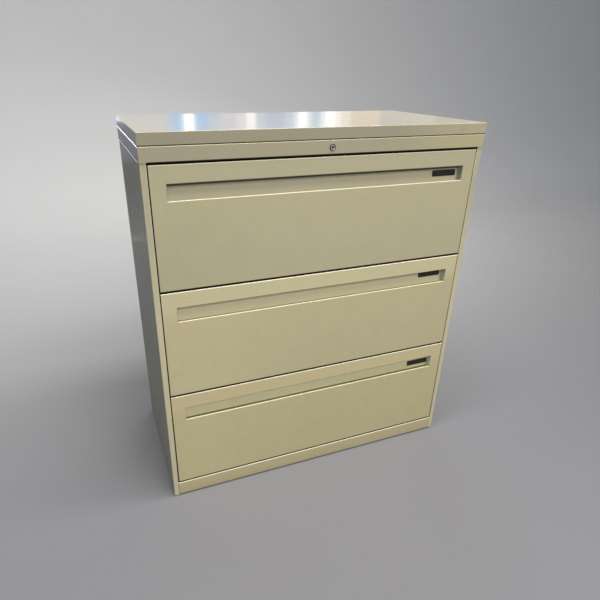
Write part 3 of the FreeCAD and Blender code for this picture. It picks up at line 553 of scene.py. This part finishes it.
def roundedLoop(halfWidth, halfHeight, corner, steps):
    points = []
    for k, (signX, signZ) in enumerate(((1, 1), (-1, 1), (-1, -1), (1, -1))):
        for i in range(steps + 1):
            turn = math.pi / 2 * (k + i / steps)
            points.append((signX * (halfWidth - corner) + corner * math.cos(turn),
                           signZ * (halfHeight - corner) + corner * math.sin(turn)))
    return points


def labelPlate(drawer, look):
    low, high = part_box(drawer + "_label_holder")
    rise = (high[1] - low[1] - look["thick"]) / (high[2] - low[2])     # the back's lean
    halfWidth = (high[0] - low[0]) / 2 - look["endTrim"]
    halfHeight = look["height"] / 2
    centreX = (low[0] + high[0]) / 2
    centreZ = low[2] + look["bottomTrim"] + halfHeight
    seat = low[1] + look["thick"] + (centreZ - low[2]) * rise
    # inset from the outline, and height over the seat, from the seated edge to the middle of the floor
    thick, rim, ease = look["thick"], look["rim"], look["rimEase"]
    turns = [math.pi / 2 * k / look["roundSteps"] for k in range(look["roundSteps"] + 1)]
    outer = [(look["round"] * (1 - math.cos(a)), thick - look["round"] * (1 - math.sin(a))) for a in turns]
    lift = thick - look["floorDepth"]
    profile = [(0.0, 0.0)] + outer + [(rim - ease, thick), (rim, thick - ease),
                                      (rim + ease / 2, lift + look["floorEase"]), (rim + 1.5 * ease, lift)]

    def build(work):
        rings = []
        for inset, height in profile:
            corner = max(look["corner"] - inset, look["leastCorner"])
            loop = roundedLoop(halfWidth - inset, halfHeight - inset, corner, look["cornerSteps"])
            rings.append([work.verts.new((centreX + x, seat + z * rise - height, centreZ + z))
                          for x, z in loop])
        count = len(rings[0])
        for inner, outerRing in zip(rings, rings[1:]):
            for k in range(count):
                work.faces.new((inner[k], inner[(k + 1) % count], outerRing[(k + 1) % count], outerRing[k]))
        work.faces.new(rings[-1])
        work.faces.new(list(reversed(rings[0])))

    name = drawer + "_label_plate"
    plate = newPiece(name, meshFrom(name, build, smooth=False), blackAbs, drawer + "_drawer")
    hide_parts(drawer + "_label_holder")
    return plate


for drawer in drawerNames:
    labelPlate(drawer, labelLook)
print("label plates set")


# Truss-head rivets that hold the trays to their slides.
rivetLook = {"radius": 3.6 * mm, "height": 1.1 * mm, "segments": 20, "rings": 4,
             "trayInset": 0.9 * mm, "slidePlaces": (0.06, 0.36, 0.66, 0.94)}


def addDome(work, centre, way, look):
    # a shallow cap of a sphere, wound from its rim to its crown
    turn = Vector((0, 0, 1)).rotation_difference(Vector(way)).to_matrix()
    rows = []
    for i in range(look["rings"]):
        share = i / look["rings"]
        radius = look["radius"] * math.cos(share * math.pi / 2)
        height = look["height"] * math.sin(share * math.pi / 2)
        around = [2 * math.pi * k / look["segments"] for k in range(look["segments"])]
        row = [Vector((radius * math.cos(a), radius * math.sin(a), height)) for a in around]
        rows.append([work.verts.new(Vector(centre) + turn @ point) for point in row])
    crown = work.verts.new(Vector(centre) + turn @ Vector((0, 0, look["height"])))
    count = look["segments"]
    for lower, upper in zip(rows, rows[1:]):
        for k in range(count):
            work.faces.new((lower[k], lower[(k + 1) % count], upper[(k + 1) % count], upper[k]))
    for k in range(count):
        work.faces.new((rows[-1][k], rows[-1][(k + 1) % count], crown))


def trayRivets(drawer, look):
    low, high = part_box(drawer + "_drawer_tray")
    slideLow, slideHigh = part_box(drawer + "_inner_slides")
    level = (slideLow[2] + slideHigh[2]) / 2
    inside = high[0] - look["trayInset"]

    def build(work):
        for side in sides:
            for share in look["slidePlaces"]:
                y = slideLow[1] + (slideHigh[1] - slideLow[1]) * share
                addDome(work, (side * inside, y, level), (-side, 0, 0), look)

    name = drawer + "_tray_rivets"
    return newPiece(name, meshFrom(name, build), zinc, drawer + "_drawer")


for drawer in drawerNames:
    trayRivets(drawer, rivetLook)
print("rivets set")


# Resistance spot welds: each leaves a low round mark, painted over, along the lapped flanges.
weldLook = {"radius": 3.2 * mm, "height": 0.35 * mm, "segments": 18, "rings": 3, "edgeInset": 11 * mm,
            "pitch": 118 * mm, "endInset": 40 * mm}


def backWelds(look):
    low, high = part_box("back_panel")
    face = high[1]

    def build(work):
        length = high[2] - low[2] - 2 * look["endInset"]
        count = round(length / look["pitch"])
        for x in (low[0] + look["edgeInset"], high[0] - look["edgeInset"]):
            for i in range(count + 1):
                addDome(work, (x, face, low[2] + look["endInset"] + length * i / count), (0, 1, 0), look)

    name = "back_spot_welds"
    return newPiece(name, meshFrom(name, build), caseEnamel, "cabinet")


backWelds(weldLook)
print("welds set")


# Rolled hems along the sides: one under the band, and one that fills the joint between cap and band. Each is
# a thin round that mirrors the window as a white line.
hemLook = {"steps": 8, "endInset": 3 * mm, "within": 0.06 * mm,
           "rounds": [{"proud": 1.1 * mm, "half": 1.6 * mm, "over": "band"},
                      {"proud": 0.9 * mm, "half": 0.4 * mm, "over": "cap"}]}


def sideHems(look):
    low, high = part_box("top_band")
    reach = high[0] - look["within"]
    drops = {"band": bandLow - look["rounds"][0]["half"], "cap": (capLow + bandHigh) / 2}

    def build(work):
        turns = [math.pi * (i / look["steps"] - 0.5) for i in range(look["steps"] + 1)]
        ends = (low[1] + look["endInset"], high[1] - look["endInset"])
        for side in sides:
            for hem in look["rounds"]:
                places = [(side * (reach - hem["proud"] * (1 - math.cos(a))), drops[hem["over"]]
                           + hem["half"] * math.sin(a)) for a in turns]
                rows = [[work.verts.new((x, y, z)) for x, z in places] for y in ends]
                for k in range(look["steps"]):
                    work.faces.new((rows[0][k], rows[0][k + 1], rows[1][k + 1], rows[1][k]))

    name = "side_hems"
    return newPiece(name, meshFrom(name, build), wipedEnamel, "cabinet")


sideHems(hemLook)
print("side hems set")


# Camera, matched to the photograph: its focal length and centre were solved for 600 by 600 pixels.
camera = {"place": (-0.5737, -1.3411, 1.1361), "yaw": 21.597, "pitch": 25.943, "roll": -0.762,
          "focalPixels": 495.65, "centre": (278.93, 312.22), "framePixels": 600, "sensor": 36.0}


def makeCamera(view):
    yaw, pitch, roll = (math.radians(view[key]) for key in ("yaw", "pitch", "roll"))
    ahead = Vector((math.sin(yaw) * math.cos(pitch), math.cos(yaw) * math.cos(pitch), -math.sin(pitch)))
    level = Vector((math.cos(yaw), -math.sin(yaw), 0.0))
    down = ahead.cross(level)
    right = math.cos(roll) * level + math.sin(roll) * down
    up = math.sin(roll) * level - math.cos(roll) * down
    data = bpy.data.cameras.new("camera")
    data.sensor_width = view["sensor"]
    data.lens = view["focalPixels"] / view["framePixels"] * view["sensor"]
    data.shift_x = 0.5 - view["centre"][0] / view["framePixels"]
    data.shift_y = view["centre"][1] / view["framePixels"] - 0.5
    data.clip_start, data.clip_end = 0.01, 60.0
    cam = bpy.data.objects.new("camera", data)
    turn = Matrix((right, up, -ahead)).transposed()
    cam.matrix_world = Matrix.Translation(view["place"]) @ turn.to_4x4()
    bpy.context.scene.collection.objects.link(cam)
    bpy.context.scene.camera = cam


makeCamera(camera)
print("camera placed")


# Studio: a pale paper sweep and four softboxes. The one in front comes down at 20 to 40 degrees and so
# reaches into the recesses, and the strip overhead lights every upper edge, whose bright line is partly
# painted highlight.
studio = {"floorNear": "#808084", "floorFar": "#f4f4f5", "farEnds": (-0.5, 3.4),
          "rightShade": 0.9, "rightEnds": (-0.5, 2.5), "leftLift": 1.06, "leftEnds": (-1.4, -0.3),
          "cloudSize": 1 / 1.5, "cloudLevels": (0.98, 1.02), "roughness": 0.9, "specular": 0.2,
          "sweepStart": 2.3, "sweepRadius": 2.2, "sweepTop": 4.0, "sweepSteps": 16,
          "halfWidth": 7.0, "near": -6.0, "worldColour": "#eef3ff", "worldLevel": 0.18}
softboxes = [
    {"name": "overhead strip", "place": (0.2, -0.5, 3.3), "aim": (0.2, -0.499, 0.0), "size": (3.0, 0.6),
     "power": 82.0, "colour": "#fffdf8"},
    {"name": "key softbox", "place": (0.3, -1.7, 3.4), "aim": (0.0, -0.2, 0.6), "size": (2.4, 0.7),
     "power": 45.0, "colour": "#fffdf8"},
    {"name": "front softbox", "place": (0.15, -4.0, 3.0), "aim": (0.0, 0.0, 0.6), "size": (3.4, 1.5),
     "power": 112.0, "colour": "#fffcf5"},
    {"name": "back softbox", "place": (0.9, 2.3, 2.7), "aim": (0.0, 0.2, 0.5), "size": (1.8, 1.0),
     "power": 22.0, "colour": "#fffdf8"},
]
# Cards that only reflections see: window panes behind the cabinet, with paler and bluer ones for soft edges,
# and a grey room beside its left panel.
paneWall = {"y": 2.5, "low": 1.03, "high": 2.4, "left": -1.3, "panes": [
    # right edge of each pane, its colour and its level
    (-0.50, "#ffffff", 9.0), (-0.30, "#f2f5ff", 1.65), (0.05, "#d4d5dc", 1.0), (0.10, "#b4d4f4", 1.0),
    (0.165, "#7cbcff", 1.15), (0.19, "#b4d8ff", 1.35), (0.25, "#ffffff", 2.2), (0.275, "#b0d4fc", 1.35),
    (0.36, "#7cb8f8", 1.15), (0.45, "#b2ccf2", 1.0), (0.58, "#d6d6f2", 0.97), (0.66, "#e0e2f6", 1.05),
    (0.735, "#f6f8ff", 1.4), (0.82, "#bed2f4", 0.98), (0.98, "#a8c6f0", 0.93), (1.05, "#bcd4f6", 1.02),
    (1.09, "#d4e6fc", 1.25), (1.165, "#f6faff", 1.7), (1.21, "#cfe4fc", 1.22), (1.28, "#acd0fa", 1.02),
    (1.33, "#dcebfc", 1.3), (1.41, "#f8fbff", 1.7), (1.47, "#f4eeee", 1.32), (1.56, "#eee2e0", 1.15),
    (1.84, "#ddcec6", 1.0), (2.4, "#bcc2cc", 0.85), (3.6, "#acb6c6", 0.72)]}
sideRoom = {"x": (-2.6, -0.4575), "lift": 2 * mm, "back": 2.38,
            # the floor part: where it starts and ends towards the back, with the level at each end
            "floor": {"near": -0.3, "dark": 0.2, "bright": 1.8, "levels": (0.66, 1.12), "colour": "#70747e"},
            # the upright part: heights, with the level at each
            "wall": {"bright": 0.1, "dark": 0.42, "levels": (1.1, 0.72), "top": 0.56, "colour": "#70747e"},
            "haze": {"top": 1.02, "level": 1.02, "colour": "#868d9f"},
            # the window's sill, seen only by the cap's rear corner
            "sill": {"ahead": 0.02, "low": 0.82, "level": 1.9, "colour": "#eef0f8"}}


def sweepMesh(look):
    steps = look["sweepSteps"]
    profile = [(look["near"], 0.0), (look["sweepStart"], 0.0)]
    for i in range(1, steps + 1):
        turn = math.pi / 2 * i / steps
        profile.append((look["sweepStart"] + look["sweepRadius"] * math.sin(turn),
                        look["sweepRadius"] * (1 - math.cos(turn))))
    profile.append((look["sweepStart"] + look["sweepRadius"], look["sweepTop"]))
    half = look["halfWidth"]
    points = [(x, y, z) for y, z in profile for x in (-half, half)]
    faces = [(2 * i, 2 * i + 1, 2 * i + 3, 2 * i + 2) for i in range(len(profile) - 1)]
    mesh = bpy.data.meshes.new("paper sweep")
    mesh.from_pydata(points, [], faces)
    for face in mesh.polygons:
        face.use_smooth = True
    return mesh


# Uncoated background paper: matt and faintly cloudy; as painted light, it is greyer towards the near side and
# the right, and paler far off and to the left.
def backgroundPaper(look):
    material, tree = newMaterial("matt background paper")
    place = addNode(tree, "TexCoord", {}).outputs["Object"]
    split = addNode(tree, "SeparateXYZ", {0: place})
    far = mapSpan(tree, split.outputs["Y"], look["farEnds"], interpolation_type="SMOOTHSTEP")
    colour = mixColours(tree, far, look["floorNear"], look["floorFar"])
    right = mapSpan(tree, split.outputs["X"], look["rightEnds"], 1.0, look["rightShade"])
    left = mapSpan(tree, split.outputs["X"], look["leftEnds"], look["leftLift"], 1.0)
    cloud = addNoise(tree, place, look["cloudSize"], 2.0)
    cloud = mapSpan(tree, cloud, (0.0, 1.0), *look["cloudLevels"])
    for share in (right, left, cloud):
        colour = mixColours(tree, 1.0, colour, share, "MULTIPLY")
    shader = addNode(tree, "BsdfPrincipled", {"Base Color": colour, "Roughness": look["roughness"],
                                              "Specular IOR Level": look["specular"]})
    finishMaterial(tree, shader)
    return material


def makeSweep(look):
    mesh = sweepMesh(look)
    mesh.materials.append(backgroundPaper(look))
    sweep = bpy.data.objects.new("paper sweep", mesh)
    bpy.context.scene.collection.objects.link(sweep)


def makeSoftbox(box):
    data = bpy.data.lights.new(box["name"], "AREA")
    data.shape = "RECTANGLE"
    data.size, data.size_y = box["size"]
    data.energy = box["power"]
    data.color = toLinear(box["colour"])[:3]
    lamp = bpy.data.objects.new(box["name"], data)
    aim = Vector(box["aim"]) - Vector(box["place"])
    lamp.location = box["place"]
    lamp.rotation_mode = "QUATERNION"
    lamp.rotation_quaternion = aim.to_track_quat("-Z", "Y")
    lamp.visible_camera = False
    bpy.context.scene.collection.objects.link(lamp)


def makeCard(name, corners, colour, level, fall=None):
    mesh = bpy.data.meshes.new(name)
    mesh.from_pydata(corners, [], [(0, 1, 2, 3)])
    card = bpy.data.objects.new(name, mesh)
    bpy.context.scene.collection.objects.link(card)
    material, tree = newMaterial(name)
    if fall:     # the level changes along one axis
        place = addNode(tree, "TexCoord", {}).outputs["Object"]
        along = addNode(tree, "SeparateXYZ", {0: place}).outputs[fall["axis"]]
        level = mapSpan(tree, along, fall["span"], *level)
    glow = addNode(tree, "Emission", {"Color": toLinear(colour), "Strength": level})
    finishMaterial(tree, glow)
    mesh.materials.append(material)
    card.visible_camera = card.visible_diffuse = card.visible_shadow = card.visible_transmission = False


def upright(x0, x1, y, low, high):
    return [(x0, y, low), (x1, y, low), (x1, y, high), (x0, y, high)]


def makePanes(wall):
    left = wall["left"]
    for i, (right, colour, level) in enumerate(wall["panes"]):
        makeCard("window pane card " + str(i + 1), upright(left, right, wall["y"], wall["low"], wall["high"]),
                 colour, level)
        left = right


def makeSideRoom(room):
    (x0, x1), back, lift = room["x"], room["back"], room["lift"]
    floor, wall, haze, sill = room["floor"], room["wall"], room["haze"], room["sill"]
    makeCard("grey floor card", [(x0, floor["near"], lift), (x1, floor["near"], lift), (x1, back, lift),
                                 (x0, back, lift)], floor["colour"], floor["levels"],
             {"axis": "Y", "span": (floor["dark"], floor["bright"])})
    makeCard("grey wall card", upright(x0, x1, back, lift, wall["top"]), wall["colour"], wall["levels"],
             {"axis": "Z", "span": (wall["bright"], wall["dark"])})
    makeCard("blue haze card", upright(x0, x1, back, wall["top"], haze["top"]), haze["colour"], haze["level"])
    makeCard("window sill card", upright(x0, x1, back - sill["ahead"], sill["low"], haze["top"]),
             sill["colour"], sill["level"])


def makeWorld(look):
    world = bpy.data.worlds.new("studio")
    bpy.context.scene.world = world
    world.use_nodes = True
    tree = world.node_tree
    tree.nodes.clear()
    glow = addNode(tree, "Background", {"Color": toLinear(look["worldColour"]),
                                        "Strength": look["worldLevel"]})
    addNode(tree, "OutputWorld", {"Surface": glow.outputs[0]})


makeSweep(studio)
for box in softboxes:
    makeSoftbox(box)
makePanes(paneWall)
makeSideRoom(sideRoom)
makeWorld(studio)
bpy.context.scene.view_settings.view_transform = "Standard"
print("studio lit")
